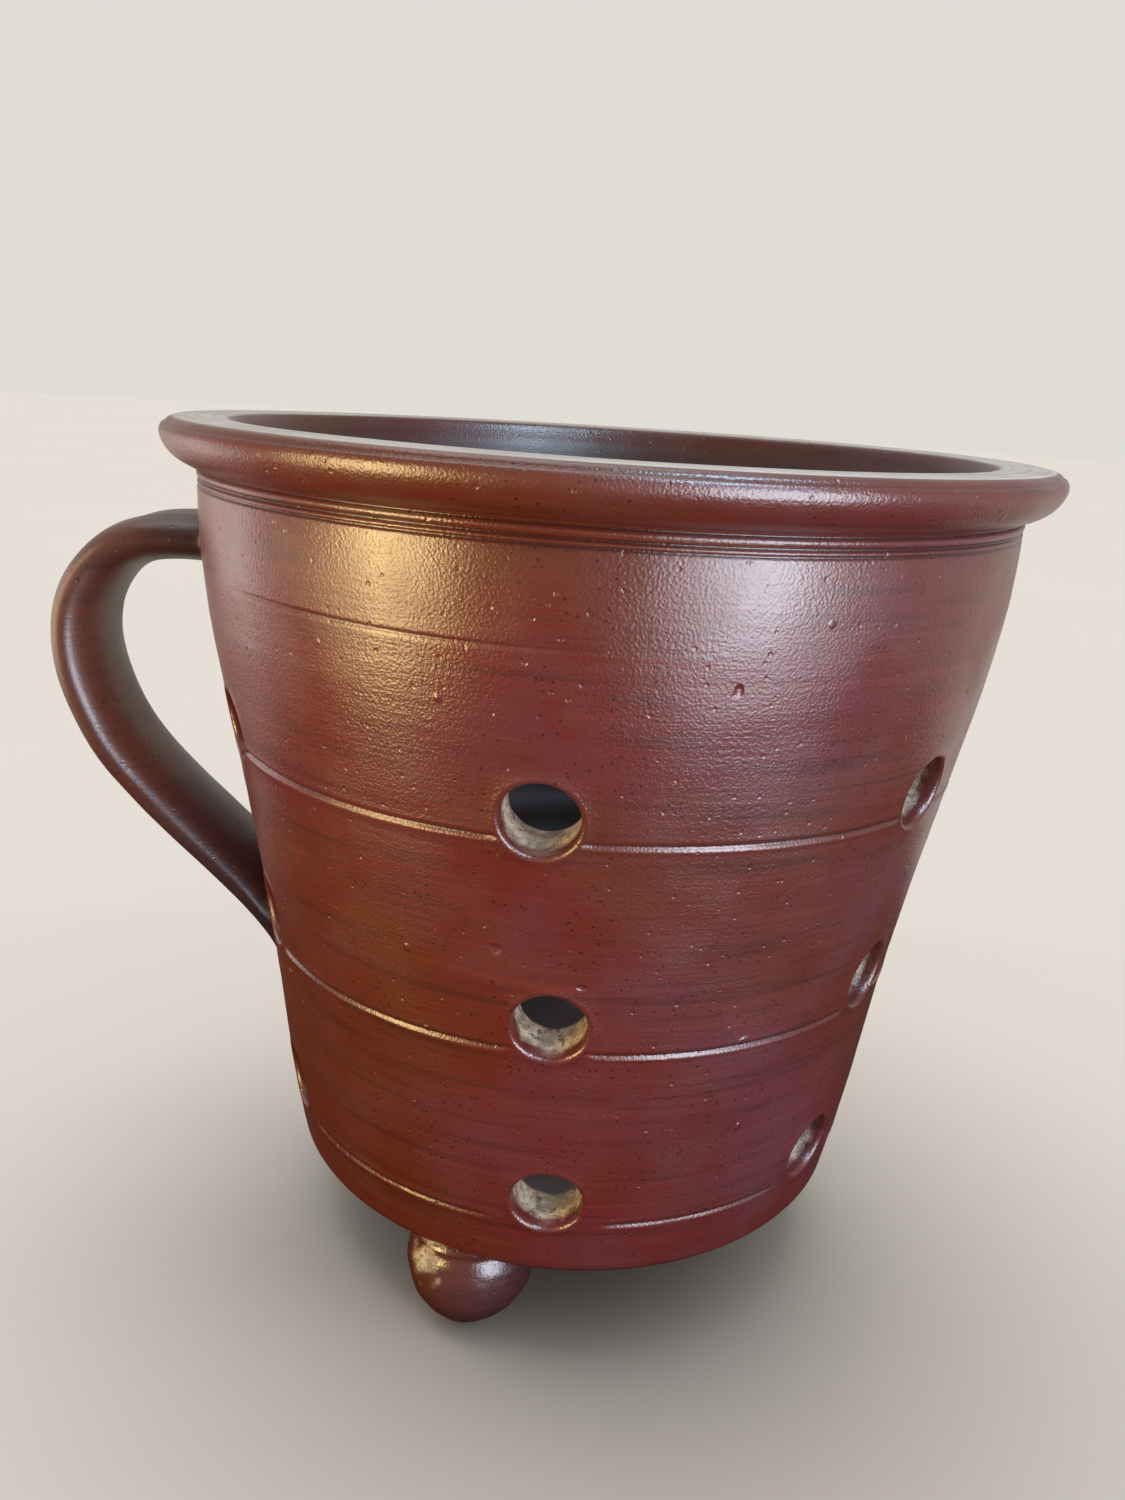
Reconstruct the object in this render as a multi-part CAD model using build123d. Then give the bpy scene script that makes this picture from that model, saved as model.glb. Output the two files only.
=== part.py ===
from build123d import *
import math
import os

# A thrown stoneware draining pot: a tapered vessel with a rolled rim, rows of drain holes,
# a pulled strap handle and three ball feet. Millimetres, +Z up. The origin is in the plane
# that the feet stand on, under the middle of the whole pot, handle included. The handle
# points along -X and one column of holes faces -Y.
#
# Every piece is first modelled about the vessel's axis with the underside at height 0, and
# is moved to the origin when it is written.

# ---- driving dimensions ----
FOOT_HEIGHT = 19.6          # standing plane to the underside of the vessel
WALL = 8.0                  # thickness of the thrown wall
FLOOR = 8.0                 # thickness of the floor
UNDER_RADIUS = 54.5         # flat underside, inside its bevel
BEVEL_HEIGHT = 2.6          # trimmed edge between the underside and the wall

# Outer wall, as (radius, height above the underside)
WALL_POINTS = [(57.4, BEVEL_HEIGHT), (59.3, 13.2), (64.1, 50.0), (70.6, 89.1), (75.7, 136.2)]

# Rolled rim, heights above the underside
NECK_TOP = 136.7            # where the wall ends in the undercut below the lip
LIP_RADIUS = 82.0
LIP_HEIGHT = 142.2          # widest point of the lip
RIM_TOP = 145.1
RIM_BAND_OUTER = 79.0       # flat band on the rim's top
RIM_BAND_INNER = 71.2
MOUTH_RADIUS = 69.4         # where the rim turns down into the vessel
MOUTH_HEIGHT = 143.2

# Incised turning lines: height above the underside, depth, half width
GROOVES = [(13.2, 0.5, 1.0), (50.0, 0.5, 1.0), (89.1, 0.5, 1.0)]

# Drain holes, punched by eye: for each row, its height above the underside and how many
# degrees each column's hole strays from its place
HOLE_RADIUS = 6.1
COLUMNS = 6
COLUMN_TURN = -1.5          # turn of the first column away from -Y
ROWS = [
    (18.0, [2.2, -4.4, -1.0, 2.0, 0.5, 0.5]),
    (54.8, [1.1, -0.7, 1.5, -1.5, 2.0, 0.0]),
    (92.4, [-1.3, -3.8, 0.5, 1.0, -2.0, 0.5]),
]

# Strap handle, in the XZ plane: (distance from the axis, height above the underside,
# strap width, strap thickness), from the joint under the rim round to the thumbed-down tail
STRAP = [
    (66.0, 119.0, 25.0, 10.6),
    (77.6, 120.6, 24.0, 9.8),
    (87.0, 120.4, 24.0, 9.6),
    (95.0, 118.0, 24.0, 9.6),
    (101.3, 112.1, 24.0, 9.6),
    (104.9, 104.4, 24.0, 9.6),
    (105.3, 96.0, 24.0, 9.6),
    (103.3, 87.8, 24.0, 9.6),
    (98.2, 77.5, 24.0, 9.5),
    (90.6, 68.5, 24.0, 9.5),
    (82.0, 60.4, 24.4, 9.5),
    (74.7, 54.0, 25.2, 9.4),
    (67.4, 47.0, 26.0, 8.8),
    (62.8, 39.4, 24.0, 6.0),
    (60.6, 32.0, 17.0, 2.8),
]

# Ball feet
BALL_RADIUS = 12.4
BALL_REACH = 46.1           # from the vessel's axis to each ball's centre
FOOT_FLAT = 4.0             # radius of the worn flat under each ball
FOOT_ANGLES = {"foot_front": -18.0, "foot_right": 102.0, "foot_back": 222.0}


WALL_CURVE = Spline(*WALL_POINTS)


def around(radius, angle, height):
    """A point by its angle about +Z, where 0 is -Y and 90 is +X."""
    turn = math.radians(angle)
    return Vector(radius * math.sin(turn), -radius * math.cos(turn), height)


def outer_radius(height):
    """Radius of the wall's outside at a height, found by halving along its curve."""
    low, high = 0.0, 1.0
    for _ in range(30):
        middle = (low + high) / 2
        if (WALL_CURVE @ middle).Y < height:
            low = middle
        else:
            high = middle
    return (WALL_CURVE @ low).X


def outer_outline():
    """Outside of the vessel from the axis, out along the underside and up to the rim's band."""
    with BuildLine() as outline:
        Line((0, 0), (UNDER_RADIUS, 0))
        Line((UNDER_RADIUS, 0), WALL_POINTS[0])
        add(WALL_CURVE)
        neck = Line(WALL_POINTS[-1], (WALL_POINTS[-1][0] + 0.2, NECK_TOP))
        lip = TangentArc(neck @ 1, (LIP_RADIUS, LIP_HEIGHT), tangent=(1, 0.15))
        TangentArc(lip @ 1, (RIM_BAND_OUTER, RIM_TOP), tangent=(0, 1))
    return outline.line


def filled_vessel():
    """The vessel without its hollow: the shape that the handle and the feet are fitted to."""
    with BuildPart() as body:
        with BuildSketch(Plane.XZ):
            with BuildLine():
                add(outer_outline())
                Line((RIM_BAND_OUTER, RIM_TOP), (0, RIM_TOP))
                Line((0, RIM_TOP), (0, 0))
            make_face()
        revolve(axis=Axis.Z)
    return body.part


def hollow():
    """The space inside, open at the top, with a rounded corner at the floor."""
    inside = [(r - WALL, z) for r, z in WALL_POINTS[2:]]
    corner = (UNDER_RADIUS - WALL - 2.0, FLOOR)
    with BuildPart() as space:
        with BuildSketch(Plane.XZ):
            with BuildLine():
                Line((0, FLOOR), corner)
                side = Spline(corner, *inside, tangents=((1, 0.9), (0.1, 1)))
                mouth = Line(side @ 1, (MOUTH_RADIUS, MOUTH_HEIGHT))
                TangentArc(mouth @ 1, (RIM_BAND_INNER, RIM_TOP), tangent=(0, 1))
                Line((RIM_BAND_INNER, RIM_TOP), (RIM_BAND_INNER, RIM_TOP + 1))
                Line((RIM_BAND_INNER, RIM_TOP + 1), (0, RIM_TOP + 1))
                Line((0, RIM_TOP + 1), (0, FLOOR))
            make_face()
        revolve(axis=Axis.Z)
    return space.part


def vessel(filled):
    """Wall, floor and rim thrown in one piece, grooved, drained and lifted onto its feet."""
    clay = filled - hollow()
    for height, strays in ROWS:
        for column, stray in enumerate(strays):
            clay -= drain_hole(column * 360 / COLUMNS + COLUMN_TURN + stray, height)
    return clay


def drain_hole(angle, height):
    """A punch square to the wall, long enough to pass through it."""
    start = around(outer_radius(height), angle, height)
    lean = math.degrees(math.atan2(outer_radius(height + 5) - outer_radius(height - 5), 10))
    out = around(math.cos(math.radians(lean)), angle, -math.sin(math.radians(lean)))
    punch = Plane(origin=start - out * 2 * WALL, z_dir=out)
    return punch * Cylinder(HOLE_RADIUS, 3 * WALL, align=(Align.CENTER, Align.CENTER, Align.MIN))


def grooves():
    """Shallow rings cut into the wall by the turning tool."""
    rings = Part()
    for height, depth, half_width in GROOVES:
        tool = (half_width ** 2 + depth ** 2) / (2 * depth)
        rings += Pos(0, 0, height) * Torus(outer_radius(height) + tool - depth, tool)
    return rings


def handle(filled):
    """The strap, lofted along its curve and trimmed where it is luted to the wall."""
    curve = Spline(*[(-reach, 0, height) for reach, height, _, _ in STRAP])
    sections = []
    for reach, height, width, thickness in STRAP:
        centre = Vector(-reach, 0, height)
        along = curve.tangent_at(curve.param_at_point(centre))
        face = Plane(origin=centre, x_dir=(0, 1, 0), z_dir=along)
        sections.append(face * Ellipse(width / 2, thickness / 2))
    strap = loft(sections) - filled
    return max(strap.solids(), key=lambda solid: solid.volume)


def foot(filled, angle):
    """A rolled ball of clay under the edge, worn flat where it stands."""
    drop = math.sqrt(BALL_RADIUS ** 2 - FOOT_FLAT ** 2) - FOOT_HEIGHT
    ball = Pos(around(BALL_REACH, angle, drop)) * Sphere(BALL_RADIUS)
    table = Pos(0, 0, -FOOT_HEIGHT) * Box(400, 400, 100, align=(Align.CENTER, Align.CENTER, Align.MAX))
    return ball - table - filled


def place(pieces):
    """Stand the pot on its feet and centre the whole of it over the origin."""
    width = pieces["vessel"].bounding_box().max.X - pieces["handle"].bounding_box().min.X
    centre = pieces["vessel"].bounding_box().max.X - width / 2
    return {name: Pos(-centre, 0, FOOT_HEIGHT) * shape for name, shape in pieces.items()}


envelope = filled_vessel() - grooves()
pot = {"vessel": vessel(envelope), "handle": handle(envelope)}
for foot_name, foot_angle in FOOT_ANGLES.items():
    pot[foot_name] = foot(envelope, foot_angle)

os.makedirs("parts", exist_ok=True)
for node, piece in place(pot).items():
    export_step(piece, f"parts/{node}.step")
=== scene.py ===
import math

import bpy
import numpy as np
from mathutils import Matrix, Vector, noise

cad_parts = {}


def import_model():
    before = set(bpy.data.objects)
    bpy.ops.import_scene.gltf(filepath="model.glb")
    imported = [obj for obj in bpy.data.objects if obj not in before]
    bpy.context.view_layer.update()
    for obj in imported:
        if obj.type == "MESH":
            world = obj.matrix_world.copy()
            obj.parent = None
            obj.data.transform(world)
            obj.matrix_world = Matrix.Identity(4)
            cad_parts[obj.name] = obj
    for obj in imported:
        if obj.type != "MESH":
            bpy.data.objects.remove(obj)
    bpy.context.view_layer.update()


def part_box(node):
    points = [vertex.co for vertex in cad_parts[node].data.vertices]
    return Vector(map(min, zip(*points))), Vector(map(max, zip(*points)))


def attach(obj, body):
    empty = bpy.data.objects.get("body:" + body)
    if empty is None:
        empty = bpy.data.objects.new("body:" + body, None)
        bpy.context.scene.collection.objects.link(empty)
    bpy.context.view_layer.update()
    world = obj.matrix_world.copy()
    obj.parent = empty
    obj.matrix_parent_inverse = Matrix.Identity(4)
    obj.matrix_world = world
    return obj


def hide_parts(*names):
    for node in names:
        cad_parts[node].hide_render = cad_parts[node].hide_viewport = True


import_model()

# A hand-thrown, salt-glazed stoneware draining pot: a tapered vessel with punched drain
# holes, a pulled strap handle and three ball feet. Shapes are worked out in millimetres
# about the vessel's axis, with height 0 at its underside, and moved into the frame last.
# An angle of 0 is towards -Y and 90 degrees is towards +X.

MM = 0.001
VESSEL_LOW, VESSEL_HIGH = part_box("vessel")
AXIS_X = (VESSEL_LOW.x + VESSEL_HIGH.x) / 2 / MM
UNDERSIDE = VESSEL_LOW.z / MM

# ---- vessel ----
WALL = 8.0
FLOOR = 8.0
WALL_RADII = [57.4, 59.3, 64.1, 70.6, 75.7]
WALL_HEIGHTS = [2.6, 13.2, 50.0, 89.1, 136.2]
WALL_CURVE = np.polyfit(WALL_HEIGHTS, WALL_RADII, 4)

# Turning lines on the wall: height, depth, half width, how near a drain hole they stop
GROOVES = [(13.2, 0.38, 0.5, 10.6), (50.0, 0.5, 0.5, 7.3), (89.1, 0.5, 0.5, 6.6)]
NECK_GROOVES = [(136.3, 0.5, 0.45), (134.55, 0.55, 0.4), (133.45, 0.34, 0.36)]
NECK_RING = (135.5, 0.22, 0.75)

# A thin line scratched part of the way round: height, depth, half width, from and to in degrees
SCRATCHED_LINE = (119.2, 0.3, 0.42, -47, 7)

# Blisters and pits, scattered in the glaze: how many, the seed that places them, the lowest and
# highest they sit, and the least and most of their half sizes
MARK_COUNT = 23
MARK_SEED = 4
MARK_HEIGHTS = (22, 131)
MARK_SIZES = (0.6, 1.4)

# Drain holes: for each row, its height and how far each column's hole strays, in degrees
HOLE_RADIUS = 6.1
COLUMN_TURN = -1.5
ROWS = [
    (18.0, [2.2, -4.4, -1.0, 2.0, 0.5, 0.5]),
    (54.8, [1.1, -0.7, 1.5, -1.5, 2.0, 0.0]),
    (92.4, [-1.3, -3.8, 0.5, 1.0, -2.0, 0.5]),
]
INNER_RISE = 1.2            # a hole comes out this much higher on the inside

# ---- vessel mesh ----
TURNS = 288                 # vertices round the axis
TURN = 2 * math.pi / TURNS
ROW_GAP = 1.7               # between rows of the wall
FINE_GAP = 0.31             # the same, in a turning line
CUT_COLUMNS = 5             # columns taken out of the grid on each side of a hole's centre
CUT_HEIGHT = 6.7
RING_RADIUS = 7.7           # where a hole's own rings of vertices begin, on the outside
INNER_RING_RADIUS = 6.75
REACH = 2.1                 # the grid is bent out to this many times the cut's size
LINE_REACH = 1.6            # how far the fine rows go on each side of a turning line
SCRATCH_REACH = 0.7         # and of the scratched one
LOWEST_ROW = 3.4            # the wall's rows, from here to the neck's
NECK_ROWS = np.arange(132.9, 136.3, 0.2)
FIRST_HOLLOW_ROW = 11.0     # rows of the wall between these heights have one inside to match
LAST_HOLLOW_ROW = 112.0
TOP_INNER_ROW = 137.5       # rows of the inside above those, and between them
INNER_GAP = 2.3
FLOOR_ROWS = (44.5, 42, 39.5, 37, 34, 31, 28, 24, 20, 16, 12, 8, 4)

# A drain hole's rings: its rolled outer edge as (radius, depth), then shares of the way
# through the wall, then the burr on the inside as (radius, how far it stands up)
HOLE_EDGE = [(7.35, -0.10), (7.05, -0.13), (6.78, -0.08), (6.56, 0.06), (6.38, 0.28), (6.25, 0.6),
             (6.16, 1.1)]
HOLE_SHARES = [0.12, 0.27, 0.42, 0.57, 0.72, 0.86, 0.95]
HOLE_BURR = [(6.12, 0.25), (6.3, 0.42), (6.52, 0.2)]


def smooth(value, low, high):
    """0 below low, 1 above high, and a smooth rise between them."""
    t = np.clip((value - low) / (high - low), 0, 1)
    return t * t * (3 - 2 * t)


def hump(value, centre, half_width):
    """1 at the centre, falling smoothly to 0 at half_width."""
    return 1 - smooth(np.abs(value - centre), 0, half_width)


def wall_radius(height):
    return np.polyval(WALL_CURVE, height)


def wall_lean(height):
    """How far the wall leans outwards, in radians."""
    return math.atan(np.polyval(np.polyder(WALL_CURVE), height))


def xyz(angle, radius, height):
    return np.stack(np.broadcast_arrays(radius * np.sin(angle), -radius * np.cos(angle), height), axis=-1)


def soft_noise(points, size, seed, octaves=3):
    """Noise between about -1 and 1 at each point. size is its grain, one number or one per axis."""
    scaled = np.asarray(points, float) / size
    shift = Vector((seed * 31.7, seed * 11.3, seed * 5.9))
    values = [noise.fractal(Vector(p) + shift, 1.0, 2.0, octaves) for p in scaled.reshape(-1, 3)]
    return np.array(values).reshape(scaled.shape[:-1])


def wall_rows():
    """Heights of the outer wall's rows, closer together in the turning lines."""
    fine = [(groove[0] - LINE_REACH, groove[0] + LINE_REACH) for groove in GROOVES]
    fine.append((SCRATCHED_LINE[0] - SCRATCH_REACH, SCRATCHED_LINE[0] + SCRATCH_REACH))
    rows = [LOWEST_ROW]
    while rows[-1] < NECK_ROWS[0] - 0.1:
        here = rows[-1]
        if any(low - 0.01 <= here < high for low, high in fine):
            rows.append(here + FINE_GAP)
        else:
            rows.append(min([here + ROW_GAP] + [low for low, _ in fine if low > here]))
    return np.array(rows[:-1] + list(NECK_ROWS))


def under_profile():
    """Rows from near the middle of the slightly hollow underside to the bottom of the wall."""
    flat = [(r, 0.5 * math.exp(-((r / 40) ** 4))) for r in (5, 12, 20, 28, 35, 41, 46, 50, 53, 54.2)]
    bevel = [(54.8, 0.12), (55.5, 0.5), (56.3, 1.2), (57.0, 1.95), (57.45, 2.7)]
    return flat + bevel


def rim_profile():
    """Rows from the top of the wall round the lip, over the flat band and into the mouth."""
    neck = [(76.0, 136.4), (76.25, 136.6), (76.4, 136.8), (76.7, 136.95)]
    under_lip = [(77.3, 137.1), (78.0, 137.36), (78.8, 137.75), (79.5, 138.25), (80.2, 138.85)]
    lip = [(80.8, 139.6), (81.35, 140.45), (81.7, 141.3), (81.88, 142.1), (81.82, 142.8), (81.6, 143.35)]
    line = [(81.3, 143.72), (81.08, 143.6), (80.9, 143.66), (80.75, 144.05), (80.4, 144.42), (79.8, 144.7)]
    band = [(r, 144.85 + 0.1 * math.sin((79.4 - r) / 9 * math.pi)) for r in np.arange(79.2, 70.9, -0.52)]
    mouth = [(70.5, 144.75), (70.1, 144.45), (69.75, 143.9), (69.4, 143.0), (69.0, 141.8), (68.6, 140.2)]
    return neck + under_lip + lip + line + band + mouth


def inner_wall_radius(height):
    return wall_radius(height) - WALL - 0.55 * smooth(height, 128, 139)


def upper_profile(hollow):
    """Rows down the inside from the mouth, as far as those that match rows of the outer wall."""
    heights = np.arange(TOP_INNER_ROW, hollow[-1] + INNER_RISE + 1.4, -INNER_GAP)
    return [(float(inner_wall_radius(z)), float(z)) for z in heights]


def inner_profile(hollow):
    """Rows down the inside, level with the outer rows that a hole may pass through, to the floor."""
    side = [(float(inner_wall_radius(z)), float(z)) for z in hollow[::-1] + INNER_RISE]
    last = side[-1]
    corner = [(last[0] - 4.8 * (1 - math.cos(t)), last[1] - (last[1] - FLOOR) * math.sin(t))
              for t in np.radians([20, 38, 56, 73, 90])]
    floor = [(r, FLOOR + 0.3 * math.sin(r / 2.9)) for r in FLOOR_ROWS]
    return side + corner + floor


class Grid:
    """The vessel's turned grid: an angle, radius and height for each row and column."""

    def __init__(self):
        self.heights = wall_rows()
        hollow = self.heights[(self.heights > FIRST_HOLLOW_ROW) & (self.heights < LAST_HOLLOW_ROW)]
        under = under_profile()
        rim = rim_profile()
        upper = upper_profile(hollow)
        rows = under + [(wall_radius(z), z) for z in self.heights] + rim + upper + inner_profile(hollow)
        self.wall = slice(len(under), len(under) + len(self.heights))
        self.rim = slice(self.wall.stop, self.wall.stop + len(rim))
        self.upper = slice(self.rim.stop, self.rim.stop + len(upper))
        self.hollow = slice(self.upper.stop, self.upper.stop + len(hollow))
        self.lowest_hollow = int(np.searchsorted(self.heights, hollow[0]))
        self.angle = np.tile(np.arange(TURNS) * TURN + math.radians(COLUMN_TURN), (len(rows), 1))
        self.radius = np.tile(np.array(rows, float)[:, :1], (1, TURNS))
        self.height = np.tile(np.array(rows, float)[:, 1:], (1, TURNS))

    def row(self, wall_row, inside):
        """The grid's row that holds a row of the wall, on its outside or its inside."""
        if inside:
            return self.hollow.stop - 1 - (wall_row - self.lowest_hollow)
        return self.wall.start + wall_row

    def wall_range(self, inside):
        """The wall rows that there are on that side."""
        if inside:
            return range(self.lowest_hollow, self.lowest_hollow + self.hollow.stop - self.hollow.start)
        return range(len(self.heights))


class Hole:
    """A drain hole, and the square of the grid that its own rings replace."""

    def __init__(self, grid, angle, height):
        self.angle = angle
        self.height = height
        self.lean = wall_lean(height)
        self.low = int(np.argmin(np.abs(grid.heights - (height - CUT_HEIGHT))))
        self.high = int(np.argmin(np.abs(grid.heights - (height + CUT_HEIGHT))))
        self.above = grid.heights[self.high] - height
        self.below = height - grid.heights[self.low]
        self.column = int(round((angle - math.radians(COLUMN_TURN)) / TURN))

    def place(self, wall_row, step, grid):
        """A grid point as a share of the cut's half width and half height."""
        up = grid.heights[wall_row] - self.height
        return step / CUT_COLUMNS, up / (self.above if up > 0 else self.below)

    def loop(self):
        """(wall row, step from the hole's column) round the cut, anticlockwise from outside."""
        span = range(-CUT_COLUMNS, CUT_COLUMNS)
        side = range(self.low, self.high)
        return ([(self.low, step) for step in span] + [(row, CUT_COLUMNS) for row in side]
                + [(self.high, -step) for step in span]
                + [(self.low + self.high - row, -CUT_COLUMNS) for row in side])

    def inward(self):
        """The punch's direction, square to the wall."""
        level = math.cos(self.lean)
        return np.array([-level * math.sin(self.angle), level * math.cos(self.angle), math.sin(self.lean)])

    def on_wall(self, direction, radius, inside):
        """Angle and height of points on the wall, by direction and distance from the hole's centre."""
        height = self.height + INNER_RISE * inside + radius * np.sin(direction) * math.cos(self.lean)
        around = wall_radius(self.height) - WALL * inside
        return self.angle + radius * np.cos(direction) / around, height


def drain_holes(grid):
    return [Hole(grid, math.radians(column * 60 + COLUMN_TURN + stray), height)
            for height, strays in ROWS for column, stray in enumerate(strays)]


def hole_distance(angle, height):
    """Distance along the wall from each point to the nearest hole's centre."""
    nearest = np.full(np.shape(angle), 1e3)
    for hole_height, strays in ROWS:
        for column, stray in enumerate(strays):
            centre = math.radians(column * 60 + COLUMN_TURN + stray)
            around = (angle - centre + math.pi) % (2 * math.pi) - math.pi
            nearest = np.minimum(nearest, np.hypot(around * wall_radius(hole_height), height - hole_height))
    return nearest


def outer_relief(angle, height):
    """How far the wall stands proud of its plain curve, and how much painted shade each point gets in a
    turning line, neck groove or the scratch.
    """
    points = xyz(angle, 66.0, height)
    relief = 0.10 * soft_noise(points, np.array([34, 34, 22]), 1)
    relief += 0.035 * soft_noise(points, np.array([16, 16, 2.6]), 2)
    relief += 0.05 * soft_noise(points, np.array([80, 80, 5.0]), 3, 2)
    deep = np.zeros(np.shape(angle))
    from_hole = hole_distance(angle, height)
    drift = 0.22 * np.sin(angle * 2 + 0.7) + 0.1 * np.sin(angle * 5)
    wear = 0.8 + 0.35 * soft_noise(points, np.array([12, 12, 300]), 4, 2)
    for centre, depth, half_width, stop in GROOVES:
        here = smooth(from_hole, stop, stop + 1.6) * np.clip(wear, 0.45, 1.1)
        across = height - centre - drift
        cut = hump(across, 0.0, half_width * 1.25) * here
        relief += 0.13 * hump(across, -0.95, 0.6) * here * (1 + 0.5 * wear)
        relief += 0.05 * hump(across, 0.95, 0.6) * here - depth * cut
        deep = np.maximum(deep, cut)
    for centre, depth, half_width in NECK_GROOVES:
        cut = hump(height, centre, half_width)
        relief -= depth * cut
        deep = np.maximum(deep, cut)
    centre, rise, half_width = NECK_RING
    relief += rise * hump(height, centre, half_width)
    centre, depth, half_width, start, end = SCRATCHED_LINE
    turn = np.degrees((angle + math.pi) % (2 * math.pi) - math.pi)
    here = smooth(turn, start, start + 5) * (1 - smooth(turn, end - 22, end))
    cut = here * hump(height - centre - 0.2 * np.sin(angle * 6), 0, half_width)
    return relief - depth * cut, np.maximum(deep, 0.8 * cut)


def inner_relief(angle, height):
    """Throwing rings that wind up the inside, as a change of radius."""
    spiral = np.sin((height / 10.5 + angle / (2 * math.pi)) * 2 * math.pi)
    return -0.22 * spiral - 0.15 * soft_noise(xyz(angle, 58.0, height), np.array([30, 30, 9]), 6)


def bend_grid(grid, hole, inside):
    """Bend the grid round a hole, so that the square cut out of it becomes a circle."""
    around = wall_radius(hole.height) - WALL * inside
    ring = INNER_RING_RADIUS if inside else RING_RADIUS
    slope = math.cos(hole.lean)
    steps = range(-int(CUT_COLUMNS * REACH), int(CUT_COLUMNS * REACH) + 1)
    for wall_row in grid.wall_range(inside):
        for step in steps:
            a, b = hole.place(wall_row, step, grid)
            away = max(abs(a), abs(b))
            if away < 0.999 or away > REACH:
                continue
            edge_turn = math.radians(COLUMN_TURN) + (hole.column + step / away) * TURN - hole.angle
            edge_rise = b / away * (hole.above if b > 0 else hole.below) / slope
            direction = math.atan2(b, a)
            weight = (1 - (away - 1) / (REACH - 1)) ** 2
            at = grid.row(wall_row, inside), (hole.column + step) % TURNS
            grid.angle[at] += weight * (ring * math.cos(direction) / around - edge_turn)
            grid.height[at] += weight * (ring * math.sin(direction) - edge_rise) * slope


def hole_rings(hole, direction):
    """The hole's rings of points from its outer edge through the wall, and how raw each is."""
    inward = hole.inward()
    rings, raw = [], []
    for radius, depth in HOLE_EDGE:
        angle, height = hole.on_wall(direction, radius, 0)
        ease = smooth(radius, 6.3, RING_RADIUS)
        surface = xyz(angle, wall_radius(height) + outer_relief(angle, height)[0] * ease, height)
        rings.append(surface + depth * inward)
        raw.append(np.zeros(len(direction)))
    start = rings[-1]
    angle, height = hole.on_wall(direction, HOLE_RADIUS, 1)
    end = xyz(angle, inner_wall_radius(height) + inner_relief(angle, height), height)
    centre_line = (start.mean(0), end.mean(0))
    for share in HOLE_SHARES:
        points = start + (end - start) * share
        outward = points - (centre_line[0] + (centre_line[1] - centre_line[0]) * share)
        outward /= np.linalg.norm(outward, axis=1)[:, None]
        rough = 0.16 * soft_noise(points, 1.3, 8, 2) + 0.12 * soft_noise(points, 4.0, 9, 2)
        rings.append(points + outward * (rough * smooth(share, 0.1, 0.4))[:, None])
        raw.append(smooth(share + 0.22 * soft_noise(points, 3.0, 10, 2), 0.12, 0.34))
    for radius, rise in HOLE_BURR:
        angle, height = hole.on_wall(direction, radius, 1)
        ragged = rise * (1 + 0.9 * soft_noise(xyz(angle, 58.0, height), 2.4, 11, 2))
        rings.append(xyz(angle, inner_wall_radius(height) + inner_relief(angle, height) - ragged, height))
        raw.append(np.full(len(direction), 0.6 if radius < 6.2 else 0.15))
    return rings, raw


class Mesher:
    """Gathers points, faces and each point's finish and painted crease shade, and makes one named object of
    them.
    """

    def __init__(self):
        self.points, self.faces = [], []
        self.finish = {"raw": [], "deep": [], "band": [], "inside": []}
        self.count = 0

    def add(self, points, **finish):
        """Add points and return the index of the first."""
        points = np.asarray(points, float).reshape(-1, 3)
        self.points.append(points)
        for name, values in self.finish.items():
            value = np.asarray(finish.get(name, 0.0), float).ravel()
            values.append(np.broadcast_to(value, (len(points),)))
        first = self.count
        self.count += len(points)
        return first

    def bridge(self, ring, next_ring):
        """Faces between two closed rings of point numbers."""
        for i in range(len(ring)):
            j = (i + 1) % len(ring)
            self.faces.append((ring[i], ring[j], next_ring[j], next_ring[i]))

    def cap(self, ring, middle, flip=False):
        """A fan of faces from a closed ring to the point in its middle."""
        for i in range(len(ring)):
            j = (i + 1) % len(ring)
            self.faces.append((middle, ring[j], ring[i]) if flip else (ring[i], ring[j], middle))

    def make(self, name, material):
        """The object, without the points that no face uses."""
        points = np.concatenate(self.points)
        used = np.unique(np.concatenate([np.asarray(face) for face in self.faces]))
        renumber = np.zeros(len(points), int)
        renumber[used] = np.arange(len(used))
        faces = [tuple(renumber[list(face)]) for face in self.faces]
        placed = (points[used] + [AXIS_X, 0, UNDERSIDE]) * MM
        mesh = bpy.data.meshes.new(name)
        mesh.from_pydata(placed.tolist(), [], faces)
        mesh.polygons.foreach_set("use_smooth", [True] * len(mesh.polygons))
        for kind, values in self.finish.items():
            layer = mesh.attributes.new(kind, "FLOAT", "POINT")
            layer.data.foreach_set("value", np.concatenate(values)[used].astype(np.float32))
        mesh.materials.append(material)
        piece = bpy.data.objects.new(name, mesh)
        bpy.context.collection.objects.link(piece)
        return piece


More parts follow.
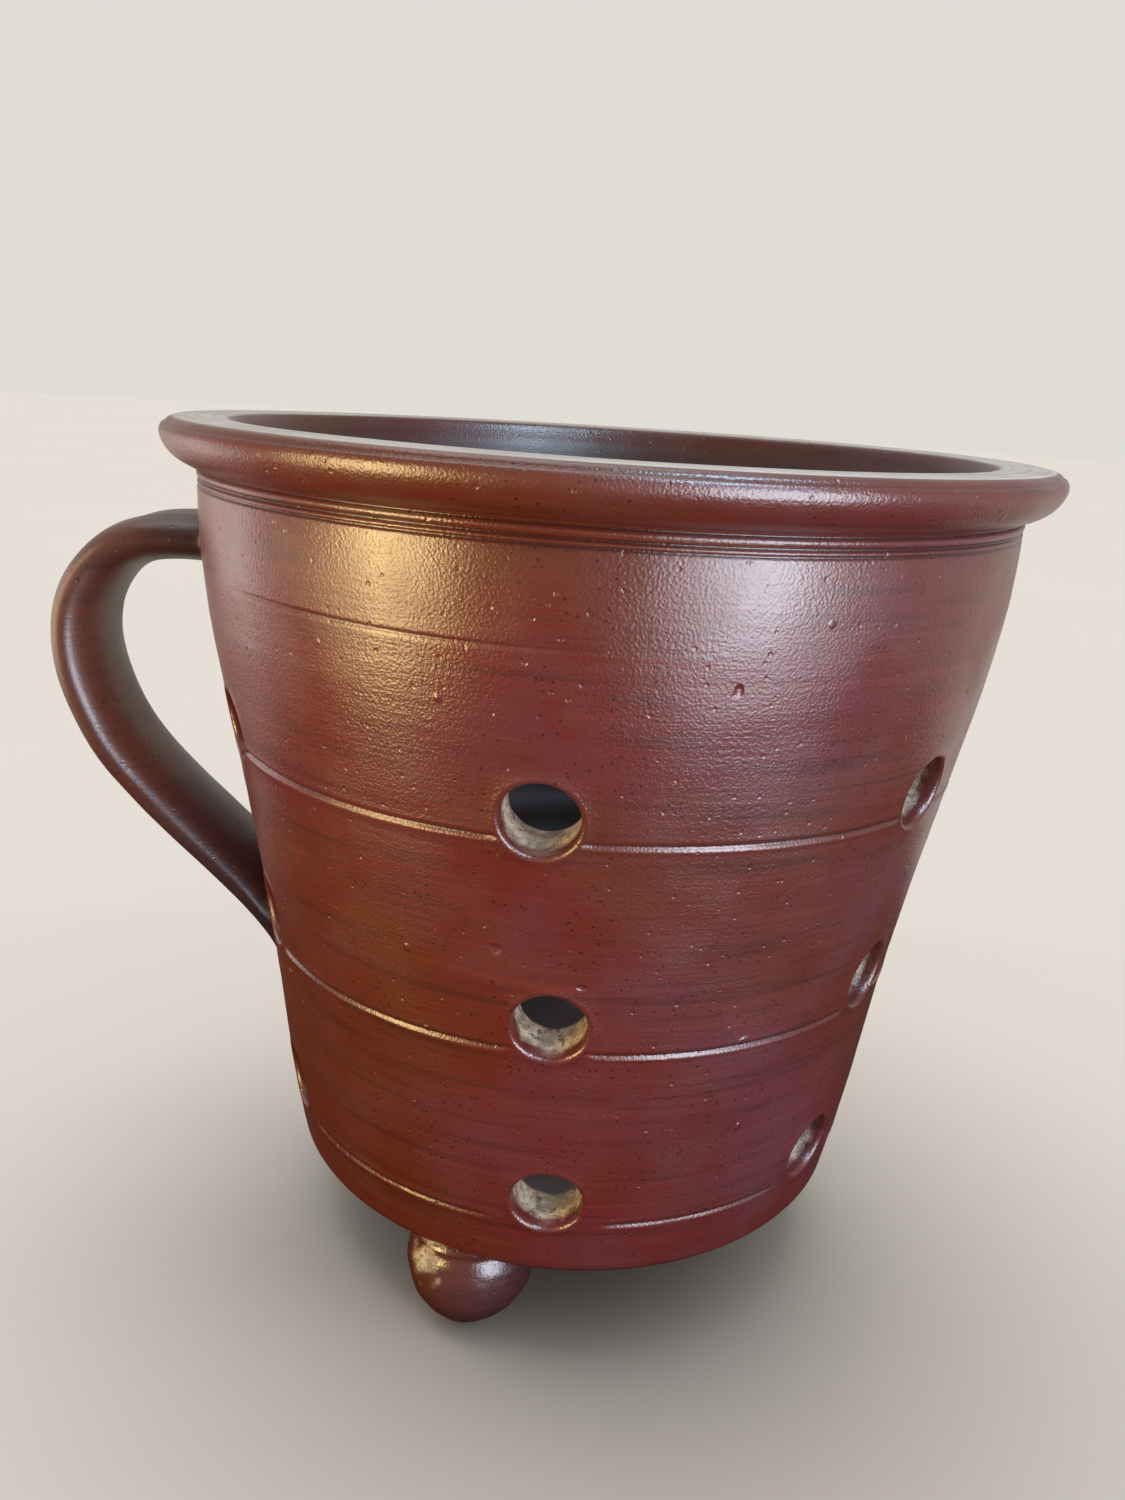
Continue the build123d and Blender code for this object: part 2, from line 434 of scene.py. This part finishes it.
def vessel_piece(material):
    """The thrown vessel: a turned grid, bent and bridged round each drain hole."""
    grid = Grid()
    holes = drain_holes(grid)
    for hole in holes:
        bend_grid(grid, hole, False)
        bend_grid(grid, hole, True)
    # Painted shade, darker glaze colour in the turning lines, neck grooves and scratch
    deep = np.zeros(grid.angle.shape)
    relief, deep[grid.wall] = outer_relief(grid.angle[grid.wall], grid.height[grid.wall])
    grid.radius[grid.wall] = wall_radius(grid.height[grid.wall]) + relief
    side = slice(grid.upper.start, grid.hollow.stop)
    grid.radius[side] = (inner_wall_radius(grid.height[side])
                         + inner_relief(grid.angle[side], grid.height[side]))
    grid.height[grid.rim] += rim_lines(grid.angle[grid.rim], grid.radius[grid.rim])
    grid.height -= 0.14 * (1 + np.sin(2 * grid.angle + 0.6)) * smooth(grid.height, 110, 144)
    rows = len(grid.angle)
    index = np.arange(rows)[:, None] + np.zeros(TURNS)
    inside = smooth(index, grid.rim.stop - 4, grid.rim.stop + 2)
    turned = 0.78 + 0.14 * np.sin(grid.radius * 4.3 + np.sin(grid.angle)) + 0.08 * np.sin(grid.radius * 9.7)
    band = (smooth(grid.height, 144.3, 144.6) * (1 - smooth(np.abs(grid.radius - 75.0), 4.2, 5.2))
            * (index >= grid.rim.start) * turned)

    mesher = Mesher()
    first = mesher.add(xyz(grid.angle, grid.radius, grid.height), deep=deep, band=band, inside=inside)
    keep = np.ones((rows - 1, TURNS), bool)
    for hole in holes:
        columns = np.arange(hole.column - CUT_COLUMNS, hole.column + CUT_COLUMNS) % TURNS
        keep[grid.row(hole.low, False):grid.row(hole.high, False), columns] = False
        keep[grid.row(hole.high, True):grid.row(hole.low, True), columns] = False
    for row, column in np.argwhere(keep):
        after = (column + 1) % TURNS
        low, high = first + row * TURNS, first + (row + 1) * TURNS
        mesher.faces.append((low + column, low + after, high + after, high + column))
    under = mesher.add([[0, 0, 0.5]])
    mesher.cap(list(range(TURNS)), under, flip=True)
    floor = mesher.add([[0, 0, FLOOR]], inside=1.0)
    mesher.cap([(rows - 1) * TURNS + column for column in range(TURNS)], floor)

    for hole in holes:
        loop = hole.loop()
        direction = np.array([math.atan2(*hole.place(row, step, grid)[::-1]) for row, step in loop])
        outer, inner = ([grid.row(row, side) * TURNS + (hole.column + step) % TURNS for row, step in loop]
                        for side in (False, True))
        rings, raw = hole_rings(hole, direction)
        last = outer
        for k, (points, rawness) in enumerate(zip(rings, raw)):
            start = mesher.add(points, raw=rawness, inside=0.5 * smooth(k, 9, 16))
            ring = list(range(start, start + len(loop)))
            mesher.bridge(last, ring)
            last = ring
        mesher.bridge(last, inner)
    return mesher.make("salt_glazed_vessel", material)


def rim_lines(angle, radius):
    """Fine turning lines on the rim's flat band, as a change of height."""
    lines = 0.05 * np.sin(radius * 5.2 + 1.5 * np.sin(angle)) + 0.04 * np.sin(radius * 2.1 + angle)
    return lines * smooth(radius, 70.6, 72) * (1 - smooth(radius, 78.6, 79.6))


# ---- handle ----
# Down the strap from the joint under the rim: distance from the axis, height, width, thickness
STRAP = [
    (70.6, 120.0, 25.0, 10.4),
    (77.6, 120.6, 24.0, 9.8),
    (87.0, 120.4, 24.0, 9.6),
    (95.0, 118.0, 24.0, 9.6),
    (101.3, 112.1, 24.0, 9.6),
    (104.9, 104.4, 24.0, 9.6),
    (105.3, 96.0, 24.0, 9.6),
    (103.3, 87.8, 24.0, 9.6),
    (98.2, 77.5, 24.0, 9.5),
    (90.6, 68.5, 24.0, 9.5),
    (82.0, 60.4, 24.4, 9.5),
    (74.7, 54.0, 25.2, 9.4),
    (67.4, 47.0, 26.0, 8.8),
    (62.8, 39.4, 24.0, 6.0),
    (60.6, 32.0, 17.0, 2.8),
]
STRAP_RINGS = 170
STRAP_TURNS = 60
STRAP_SQUARENESS = 2 / 2.5  # power of the outer face's section: 1 is an ellipse, 0 a rectangle
THUMB_HOLLOW = (0.35, 4.5)  # depth and half width of the hollow down the outer face
FILLET = 3.2                # the clay smeared round each joint with the wall
HANDLE_REACH = 110.2        # the strap's outermost point stays within this


def spline(knots, values, at):
    """Values on a natural cubic spline through the knots."""
    n = len(knots)
    gap = np.diff(knots)
    matrix, right = np.eye(n), np.zeros_like(values)
    for i in range(1, n - 1):
        matrix[i, i - 1:i + 2] = gap[i - 1], 2 * (gap[i - 1] + gap[i]), gap[i]
        right[i] = 6 * ((values[i + 1] - values[i]) / gap[i] - (values[i] - values[i - 1]) / gap[i - 1])
    bend = np.linalg.solve(matrix, right)
    k = np.clip(np.searchsorted(knots, at, side="right") - 1, 0, n - 2)
    h, t, s = gap[k][:, None], (at - knots[k])[:, None], (knots[k + 1] - at)[:, None]
    return ((bend[k] * s ** 3 + bend[k + 1] * t ** 3) / (6 * h)
            + (values[k] / h - bend[k] * h / 6) * s + (values[k + 1] / h - bend[k + 1] * h / 6) * t)


def handle_piece(material):
    """A pulled strap, its section a rounded slab with a fuller outer face, luted to the wall."""
    strap = np.array(STRAP)
    knots = np.concatenate([[0], np.cumsum(np.hypot(*np.diff(strap[:, :2], axis=0).T))])
    at = np.linspace(0, knots[-1], STRAP_RINGS)
    path = spline(knots, strap, at)
    along = np.gradient(path[:, :2], at, axis=0)
    along /= np.linalg.norm(along, axis=1)[:, None]
    theta = np.arange(STRAP_TURNS) * 2 * math.pi / STRAP_TURNS
    mesher = Mesher()
    rings = []
    for i in range(STRAP_RINGS):
        reach, height, width, thickness = path[i]
        across, out = np.cos(theta), np.sin(theta)
        power = np.where(out > 0, STRAP_SQUARENESS, 1.0)
        side = np.sign(across) * np.abs(across) ** power * width / 2
        face = np.sign(out) * np.abs(out) ** power * thickness / 2
        hollow = THUMB_HOLLOW[0] * np.exp(-((side / THUMB_HOLLOW[1]) ** 2)) * (face > 0)
        normal = np.array([-along[i, 1], along[i, 0]])
        points = np.stack([-(reach + normal[0] * (face - hollow)), side,
                           height + normal[1] * (face - hollow)], axis=-1)
        centre = np.array([-reach, 0.0, height])
        points = flare(points, centre)
        points = points + pulled_relief(points, side, face, at[i])[:, None] * unit(points - centre)
        points[:, 0] = np.maximum(points[:, 0], -HANDLE_REACH)
        gap = np.hypot(points[:, 0], points[:, 1]) - wall_radius(points[:, 2])
        # Painted shade on the strap where it meets the wall
        start = mesher.add(points, inside=0.0, deep=0.7 * (1 - smooth(gap, 0.0, 0.9)))
        rings.append(list(range(start, start + STRAP_TURNS)))
    for ring, next_ring in zip(rings, rings[1:]):
        mesher.bridge(ring, next_ring)
    for ring, row, flip in ((rings[0], path[0], True), (rings[-1], path[-1], False)):
        middle = mesher.add([[-row[0], 0, row[1]]])
        mesher.cap(ring, middle, flip)
    return mesher.make("strap_handle", material)


def unit(vectors):
    return vectors / np.linalg.norm(vectors, axis=-1)[..., None]


def flare(points, centre):
    """Spread the strap's section where it nears the wall, as a fillet of smeared clay."""
    gap = np.hypot(points[:, 0], points[:, 1]) - wall_radius(points[:, 2])
    near = np.clip(1 - gap / FILLET, 0, 1)
    spread = FILLET * (1 - np.sqrt(np.clip(1 - near ** 2, 0, 1)))
    return points + spread[:, None] * unit(points - centre)


def pulled_relief(points, side, face, at):
    """Lengthwise ridges that the fingers left on the outer face, and slow unevenness all over."""
    lengthwise = 0.07 * np.sin(side * 1.25 + 0.02 * at) + 0.03 * np.sin(side * 2.9 + 1.0)
    return lengthwise * smooth(face, -1.0, 3.0) + 0.22 * soft_noise(points, 15.0, 12, 2) - 0.1


# ---- feet ----
BALL_RADIUS = 12.4
FOOT_FLAT = 4.0
BALL_DROP = UNDERSIDE - math.sqrt(BALL_RADIUS ** 2 - FOOT_FLAT ** 2)
COLLAR = 2.0                # the clay smeared between a ball and the underside
FOOT_TURNS = 84
FOOT_RINGS = 60
STANDING = 0.02 - UNDERSIDE             # the foot's flat, just clear of the floor
BARE_PATCH = (-0.62, -0.68, 0.38)       # direction of the front ball's unglazed patch


def foot_piece(node, number, material):
    """A ball rolled between the palms: not quite round, pressed on and worn flat below."""
    low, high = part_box(node)
    centre = np.array([(low.x + high.x) / 2 / MM - AXIS_X, (low.y + high.y) / 2 / MM, -BALL_DROP])
    turns = np.arange(FOOT_TURNS) * 2 * math.pi / FOOT_TURNS
    mesher = Mesher()
    rings = []
    for tilt in np.linspace(-88.5, 76, FOOT_RINGS):
        level, rise = math.cos(math.radians(tilt)), math.sin(math.radians(tilt))
        way = np.stack([level * np.cos(turns), level * np.sin(turns), np.full(FOOT_TURNS, rise)], axis=-1)
        lumps = 0.45 * (soft_noise(way, 0.9, 20 + number, 2) - 0.55)
        creases = 0.12 * soft_noise(way * [1, 1, 3.0], 0.35, 30 + number, 2)
        points = centre + way * (BALL_RADIUS - 0.12 + np.minimum(lumps + creases, 0))[:, None]
        near = np.clip(1 + points[:, 2] / COLLAR, 0, 1)
        points[:, :2] += (COLLAR * (1 - np.sqrt(np.clip(1 - near ** 2, 0, 1)))[:, None]
                          * unit(points[:, :2] - centre[:2]))
        points[:, 2] = np.maximum(points[:, 2], STANDING)
        worn = 1 - smooth(points[:, 2] + UNDERSIDE, 0.05, 0.6)
        bare = worn
        if node == "foot_front":
            patch = np.arccos(np.clip(way @ np.array(BARE_PATCH), -1, 1))
            bare = np.maximum(worn, 1 - smooth(patch + 0.25 * soft_noise(way, 0.3, 40, 2), 0.2, 0.36))
        start = mesher.add(points, raw=bare)
        rings.append(list(range(start, start + FOOT_TURNS)))
    for ring, next_ring in zip(rings, rings[1:]):
        mesher.bridge(ring, next_ring)
    bottom = mesher.add([[centre[0], centre[1], STANDING]], raw=1.0)
    mesher.cap(rings[0], bottom, flip=True)
    top = mesher.add([[centre[0], centre[1], centre[2] + BALL_RADIUS - 0.4]])
    mesher.cap(rings[-1], top)
    return mesher.make(node.replace("foot", "ball_foot"), material)


# ---- materials ----
def linear(red, green, blue):
    """A shader colour from screen values out of 255."""
    channels = [c / 255 for c in (red, green, blue)]
    return tuple(c / 12.92 if c <= 0.04045 else ((c + 0.055) / 1.055) ** 2.4 for c in channels) + (1.0,)


RANGE_SOCKETS = ("From Min", "From Max", "To Min", "To Max")

DARK_STREAK = linear(36, 12, 10)
PALE_STREAK = linear(104, 50, 36)
IRON_SPECK = linear(18, 8, 7)
# Painted shade: the colour for the grooves, the scratch and the strap's joint with the wall
CREASE_SHADE_COLOUR = linear(22, 8, 7)
INSIDE_GLAZE = linear(27, 12, 11)
DRY_RIM = linear(128, 114, 104), linear(178, 168, 158)
RAW_CLAY = linear(88, 75, 62), linear(140, 123, 103)
CLAY_PIT = linear(62, 51, 42)


class Nodes:
    """A material's node tree, with short ways to add what these glazes use."""

    def __init__(self, name):
        self.material = bpy.data.materials.new(name)
        self.material.use_nodes = True
        self.tree = self.material.node_tree
        self.shader = self.tree.nodes["Principled BSDF"]
        self.place = self.new("ShaderNodeTexCoord").outputs["Object"]

    def new(self, kind, **settings):
        node = self.tree.nodes.new(kind)
        for name, value in settings.items():
            setattr(node, name, value)
        return node

    def link(self, source, target):
        self.tree.links.new(source, target)

    def feed(self, socket, value):
        if isinstance(value, bpy.types.NodeSocket):
            self.link(value, socket)
        else:
            socket.default_value = value

    def stretched(self, x, y, z):
        """The object's coordinates, scaled by a number for each axis."""
        node = self.new("ShaderNodeMapping")
        self.link(self.place, node.inputs["Vector"])
        node.inputs["Scale"].default_value = (x, y, z)
        return node.outputs["Vector"]

    def noise(self, scale, detail=3.0, rough=0.5, vector=None):
        node = self.new("ShaderNodeTexNoise")
        self.link(vector or self.place, node.inputs["Vector"])
        node.inputs["Scale"].default_value = scale
        node.inputs["Detail"].default_value = detail
        node.inputs["Roughness"].default_value = rough
        return node.outputs["Fac"]

    def cells(self, scale):
        node = self.new("ShaderNodeTexVoronoi")
        self.link(self.place, node.inputs["Vector"])
        node.inputs["Scale"].default_value = scale
        return node.outputs["Distance"]

    def attribute(self, name):
        return self.new("ShaderNodeAttribute", attribute_name=name).outputs["Fac"]

    def math(self, operation, a, b=0.0):
        node = self.new("ShaderNodeMath", operation=operation)
        self.feed(node.inputs[0], a)
        self.feed(node.inputs[1], b)
        return node.outputs[0]

    def between(self, value, low, high, start=0.0, end=1.0):
        """start below low, end above high, and smooth between."""
        node = self.new("ShaderNodeMapRange", interpolation_type="SMOOTHSTEP")
        self.link(value, node.inputs["Value"])
        for name, number in zip(RANGE_SOCKETS, (low, high, start, end)):
            self.feed(node.inputs[name], number)
        return node.outputs["Result"]

    def mark(self, place, turn, size):
        """1 at a place, in metres, falling to 0 at the edge of an ellipsoid of that size, turned so."""
        node = self.new("ShaderNodeMapping", vector_type="TEXTURE")
        self.link(self.place, node.inputs["Vector"])
        for name, value in zip(("Location", "Rotation", "Scale"), (place, turn, size)):
            node.inputs[name].default_value = value
        length = self.new("ShaderNodeVectorMath", operation="LENGTH")
        self.link(node.outputs["Vector"], length.inputs[0])
        return self.between(length.outputs["Value"], 0.25, 1.0, 1.0, 0.0)

    def mix(self, share, a, b):
        node = self.new("ShaderNodeMix", data_type="RGBA")
        self.feed(node.inputs["Factor"], share)
        self.feed(node.inputs[6], a)
        self.feed(node.inputs[7], b)
        return node.outputs[2]

    def bump(self, height, distance, strength=1.0, under=None):
        node = self.new("ShaderNodeBump")
        self.link(height, node.inputs["Height"])
        node.inputs["Distance"].default_value = distance
        node.inputs["Strength"].default_value = strength
        if under is not None:
            self.link(under, node.inputs["Normal"])
        return node.outputs["Normal"]


def glaze_marks(n):
    """The vessel's blisters and pits, as one height: proud above 0 and sunk below."""
    total = n.math("MULTIPLY", n.between(n.cells(85.0), 0.02, 0.075, 1.0, 0.0), 0.6)
    draw = np.random.default_rng(MARK_SEED)
    for _ in range(MARK_COUNT):
        turn = draw.uniform(-math.pi, math.pi)
        height = draw.uniform(*MARK_HEIGHTS)
        place = (xyz(turn, wall_radius(height), height) + [AXIS_X, 0, UNDERSIDE]) * MM
        size = (draw.uniform(*MARK_SIZES) * MM, 4 * MM, draw.uniform(*MARK_SIZES) * MM)
        tilt = math.radians(draw.uniform(-20, 20))
        rise = draw.choice([0.8, 0.8, -0.8])
        spot = n.mark(tuple(place), (0, -tilt, turn), size)
        total = n.math("ADD", total, n.math("MULTIPLY", spot, rise))
    return total


def salt_glaze(name, warm, red, plum, roughness, pitting=1.0, marked=False):
    """Red-brown salt glaze over grey stoneware: orange-peel pits, turning streaks, iron specks, painted
    shade in creases and a partly painted cool tint on one side.
    """
    n = Nodes(name)
    clouds = n.between(n.noise(16.0, 3.0, 0.55), 0.40, 0.62)
    drifts = n.between(n.noise(34.0, 4.0, 0.6), 0.42, 0.66)
    streaks = n.noise(1.0, 3.0, 0.6, n.stretched(26.0, 26.0, 620.0))
    colour = n.mix(clouds, warm, red)
    across = n.new("ShaderNodeSeparateXYZ")
    n.link(n.place, across.inputs[0])
    # More plum towards +X: partly the glaze's own flashing, partly painted cool light from that side
    flashing_and_painted_cool_light = n.between(across.outputs["X"], -0.02, 0.08, 0.0, 0.38)
    colour = n.mix(n.math("ADD", n.math("MULTIPLY", drifts, 0.55), flashing_and_painted_cool_light), colour, plum)
    colour = n.mix(n.between(streaks, 0.50, 0.72, 0.0, 0.45), colour, DARK_STREAK)
    colour = n.mix(n.between(streaks, 0.28, 0.44, 0.08, 0.0), colour, PALE_STREAK)
    specks = n.between(n.cells(700.0), 0.10, 0.24, 1.0, 0.0)
    where = n.between(n.noise(150.0, 2.0), 0.44, 0.56)
    colour = n.mix(n.math("MULTIPLY", n.math("MULTIPLY", specks, where), 0.8), colour, IRON_SPECK)
    # Painted shade: darker in the grooves, the scratch and the strap's joint with the wall
    colour = n.mix(n.between(n.attribute("deep"), 0.2, 0.9, 0.0, 0.8), colour, CREASE_SHADE_COLOUR)
    inside = n.attribute("inside")
    colour = n.mix(n.between(inside, 0.2, 1.0, 0.0, 0.94), colour, INSIDE_GLAZE)
    band = n.attribute("band")
    dry = n.mix(n.noise(70.0, 4.0, 0.65), *DRY_RIM)
    colour = n.mix(n.between(band, 0.0, 1.0, 0.0, 0.86), colour, dry)
    raw = n.attribute("raw")
    clay = n.mix(n.between(n.noise(420.0, 4.0, 0.7), 0.35, 0.65), *RAW_CLAY)
    clay = n.mix(n.between(n.noise(900.0, 2.0), 0.56, 0.70), clay, CLAY_PIT)
    colour = n.mix(raw, colour, clay)
    n.link(colour, n.shader.inputs["Base Color"])

    patchy = n.between(n.noise(60.0, 3.0), 0.35, 0.7, roughness - 0.04, roughness + 0.06)
    finish = n.math("ADD", patchy, n.math("MULTIPLY", band, 0.32))
    finish = n.math("ADD", finish, n.math("MULTIPLY", raw, 0.4))
    finish = n.math("ADD", finish, n.math("MULTIPLY", inside, 0.14))
    n.link(finish, n.shader.inputs["Roughness"])
    n.shader.inputs["IOR"].default_value = 1.5
    n.shader.inputs["Specular IOR Level"].default_value = 0.55

    outside = n.math("SUBTRACT", 1.0, inside)
    peel = n.math("ADD", n.noise(2600.0, 2.0, 0.5), n.math("MULTIPLY", n.cells(1900.0), 0.6))
    skin = n.bump(n.math("MULTIPLY", peel, outside), 0.00007 * pitting, 0.8)
    lines = n.noise(1.0, 2.0, 0.5, n.stretched(30.0, 30.0, 1150.0))
    skin = n.bump(n.math("MULTIPLY", lines, outside), 0.00008, 0.6, skin)
    pores = n.between(n.cells(330.0), 0.05, 0.16)
    skin = n.bump(n.math("MULTIPLY", pores, outside), 0.00012, 0.7, skin)
    if marked:
        skin = n.bump(glaze_marks(n), 0.0003, 1.0, skin)
    skin = n.bump(n.math("MULTIPLY", n.noise(1500.0, 3.0, 0.7), raw), 0.0005, 0.8, skin)
    n.link(skin, n.shader.inputs["Normal"])
    return n.material


def matte(name, tone, other_tone):
    n = Nodes(name)
    n.link(n.mix(n.noise(3.0, 2.0), tone, other_tone), n.shader.inputs["Base Color"])
    n.shader.inputs["Roughness"].default_value = 0.85
    return n.material


# ---- stage, light and camera ----
def disc(name, radius, sides, material):
    mesh = bpy.data.meshes.new(name)
    ring = [(radius * math.cos(i * 2 * math.pi / sides), radius * math.sin(i * 2 * math.pi / sides), 0)
            for i in range(sides)]
    mesh.from_pydata(ring, [], [range(sides)])
    mesh.materials.append(material)
    floor = bpy.data.objects.new(name, mesh)
    bpy.context.collection.objects.link(floor)
    return floor


def area_light(name, place, target, size, power, colour, only):
    """A soft light at place, in metres, facing target, that lights only one collection."""
    light = bpy.data.lights.new(name, "AREA")
    light.shape = "RECTANGLE"
    light.size, light.size_y = size
    light.energy = power
    light.color = colour
    lamp = bpy.data.objects.new(name, light)
    lamp.location = place
    lamp.rotation_euler = (Vector(target) - Vector(place)).to_track_quat("-Z", "Y").to_euler()
    lamp.visible_camera = False
    lamp.light_linking.receiver_collection = only
    bpy.context.collection.objects.link(lamp)
    return lamp


def lit_group(name, pieces):
    """A collection of the pieces that some lights are kept to."""
    group = bpy.data.collections.new(name)
    for piece in pieces:
        group.objects.link(piece)
    return group


def sun_light(name, tilt, spread, strength, colour):
    """An even light from above. Tilt is in degrees about X and Y."""
    light = bpy.data.lights.new(name, "SUN")
    light.angle = math.radians(spread)
    light.energy = strength
    light.color = colour
    lamp = bpy.data.objects.new(name, light)
    lamp.rotation_euler = (math.radians(tilt[0]), math.radians(tilt[1]), 0)
    bpy.context.collection.objects.link(lamp)


def around(angle, distance, height):
    """A place in metres, by its angle about the vessel, distance from its axis and height."""
    turn = math.radians(angle)
    return (AXIS_X * MM + distance * math.sin(turn), -distance * math.cos(turn), height)


def world(backdrop, front, back):
    """A plain backdrop. What it lights is dimmer in front of the pot than behind and above it."""
    sky = bpy.data.worlds.new("studio")
    sky.use_nodes = True
    tree = sky.node_tree
    shown = tree.nodes["Background"]
    shown.inputs["Color"].default_value = backdrop
    lit = tree.nodes.new("ShaderNodeBackground")
    place = tree.nodes.new("ShaderNodeTexCoord")
    split = tree.nodes.new("ShaderNodeSeparateXYZ")
    fade = tree.nodes.new("ShaderNodeMapRange")
    tree.links.new(place.outputs["Generated"], split.inputs[0])
    high = tree.nodes.new("ShaderNodeMath")
    tree.links.new(split.outputs["Z"], high.inputs[0])
    high.operation = "MULTIPLY_ADD"
    high.inputs[1].default_value = 0.9
    tree.links.new(split.outputs["Y"], high.inputs[2])
    tree.links.new(high.outputs[0], fade.inputs["Value"])
    for name, value in zip(RANGE_SOCKETS, (-0.6, 0.8, front, back)):
        fade.inputs[name].default_value = value
    tree.links.new(fade.outputs["Result"], lit.inputs["Strength"])
    lit.inputs["Color"].default_value = backdrop
    ray = tree.nodes.new("ShaderNodeLightPath")
    either = tree.nodes.new("ShaderNodeMixShader")
    tree.links.new(ray.outputs["Is Camera Ray"], either.inputs["Fac"])
    tree.links.new(lit.outputs[0], either.inputs[1])
    tree.links.new(shown.outputs[0], either.inputs[2])
    tree.links.new(either.outputs[0], tree.nodes["World Output"].inputs["Surface"])
    bpy.context.scene.world = sky


# The photograph's view: millimetres from the vessel's axis and underside, and degrees
CAMERA_DISTANCE = 232.3
CAMERA_HEIGHT = 153.3
CAMERA_SIDE = 2.5
CAMERA_YAW = -1.36
CAMERA_PITCH = 17.07
CAMERA_ROLL = 3.67
LENS = 28.27
SENSOR = 36.0


def turned(one, other, angle):
    """Two square axes, each turned by an angle in degrees, the first towards the other."""
    cos, sin = math.cos(math.radians(angle)), math.sin(math.radians(angle))
    return one * cos + other * sin, other * cos - one * sin


def camera():
    """The camera, level with its side at first, then yawed, pitched and rolled."""
    across, up, ahead = Vector((1, 0, 0)), Vector((0, 0, 1)), Vector((0, 1, 0))
    ahead, across = turned(ahead, across, CAMERA_YAW)
    up, ahead = turned(up, ahead, CAMERA_PITCH)
    across, up = turned(across, up, CAMERA_ROLL)
    place = Vector((0, -CAMERA_DISTANCE, CAMERA_HEIGHT + UNDERSIDE))
    turn = Matrix.Rotation(math.radians(CAMERA_SIDE), 3, "Z")
    data = bpy.data.cameras.new("photo_view")
    data.lens = LENS
    data.sensor_width = SENSOR
    data.clip_start = 0.01
    view = bpy.data.objects.new("photo_view", data)
    columns = Matrix((turn @ across, turn @ up, turn @ -ahead)).transposed()
    place = (turn @ place + Vector((AXIS_X, 0, 0))) * MM
    view.matrix_world = Matrix.Translation(place) @ columns.to_4x4()
    bpy.context.collection.objects.link(view)
    bpy.context.scene.camera = view


# Lights kept to some of the pieces: name, place (angle, distance and height), size, power,
# colour and the pieces
LIGHTS = [
    ("warm_window", (-47, 0.31, 0.12), (0.08, 0.18), 1.6, (1.0, 0.74, 0.33), "bowl"),
    ("cool_window", (38, 0.38, 0.13), (0.19, 0.3), 3.5, (0.80, 0.88, 1.0), "pot"),
    ("cool_sky", (36, 0.42, 0.62), (0.18, 0.18), 4.8, (0.50, 0.78, 1.0), "pot"),
    ("strap_warm", (-78, 0.36, 0.12), (0.09, 0.2), 0.7, (1.0, 0.62, 0.34), "strap"),
    ("strap_cool", (26, 0.40, 0.11), (0.26, 0.2), 2.6, (0.72, 0.82, 1.0), "strap"),
    ("pale_wall", (-104, 0.42, 0.10), (0.14, 0.2), 0.22, (1.0, 0.95, 0.92), "pot"),
]


def studio(pieces):
    """Pale floor and soft light, and a brown board that shows only in reflections."""
    floor = disc("pale_floor", 6.0, 96, matte("pale_paper", linear(226, 222, 216), linear(230, 227, 222)))
    board = disc("reflected_board", 0.75, 96, matte("brown_board", linear(70, 32, 10), linear(58, 26, 10)))
    board.location = (0.1, -0.6, 0.0004)
    board.visible_camera = board.visible_diffuse = board.visible_shadow = False
    bpy.context.scene.view_settings.view_transform = "Standard"
    world(linear(224, 220, 214), 0.08, 0.95)
    strap = [piece for piece in pieces if piece.name == "strap_handle"]
    bowl = [piece for piece in pieces if piece not in strap]
    groups = {"pot": pieces, "strap": strap, "bowl": bowl}
    groups = {name: lit_group(name, some) for name, some in groups.items()}
    middle = (AXIS_X * MM, 0, 0.1)
    sun_light("overhead", (-12, -8), 50, 1.45, (1.0, 0.975, 0.95))
    for name, place, size, power, colour, group in LIGHTS:
        area_light(name, around(*place), middle, size, power, colour, groups[group])


def build():
    """The five pieces, each in the place of its CAD node."""
    body = salt_glaze("vessel_salt_glaze", linear(62, 21, 6), linear(66, 14, 10), linear(63, 28, 31),
                      roughness=0.34, marked=True)
    strap = salt_glaze("handle_salt_glaze", linear(70, 34, 20), linear(58, 26, 20), linear(50, 26, 27),
                       roughness=0.42, pitting=0.6)
    balls = salt_glaze("foot_salt_glaze", linear(60, 28, 20), linear(52, 23, 22), linear(50, 28, 32),
                       roughness=0.28, pitting=0.8)
    pieces = [(vessel_piece(body), "vessel", "vessel_glaze")]
    pieces.append((handle_piece(strap), "handle", "handle_glaze"))
    for number, node in enumerate(("foot_front", "foot_right", "foot_back")):
        pieces.append((foot_piece(node, number, balls), node, "foot_glaze"))
    for piece, node, slot in pieces:
        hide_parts(node)
        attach(piece, "root")
    return [piece for piece, _, _ in pieces]


studio(build())
camera()
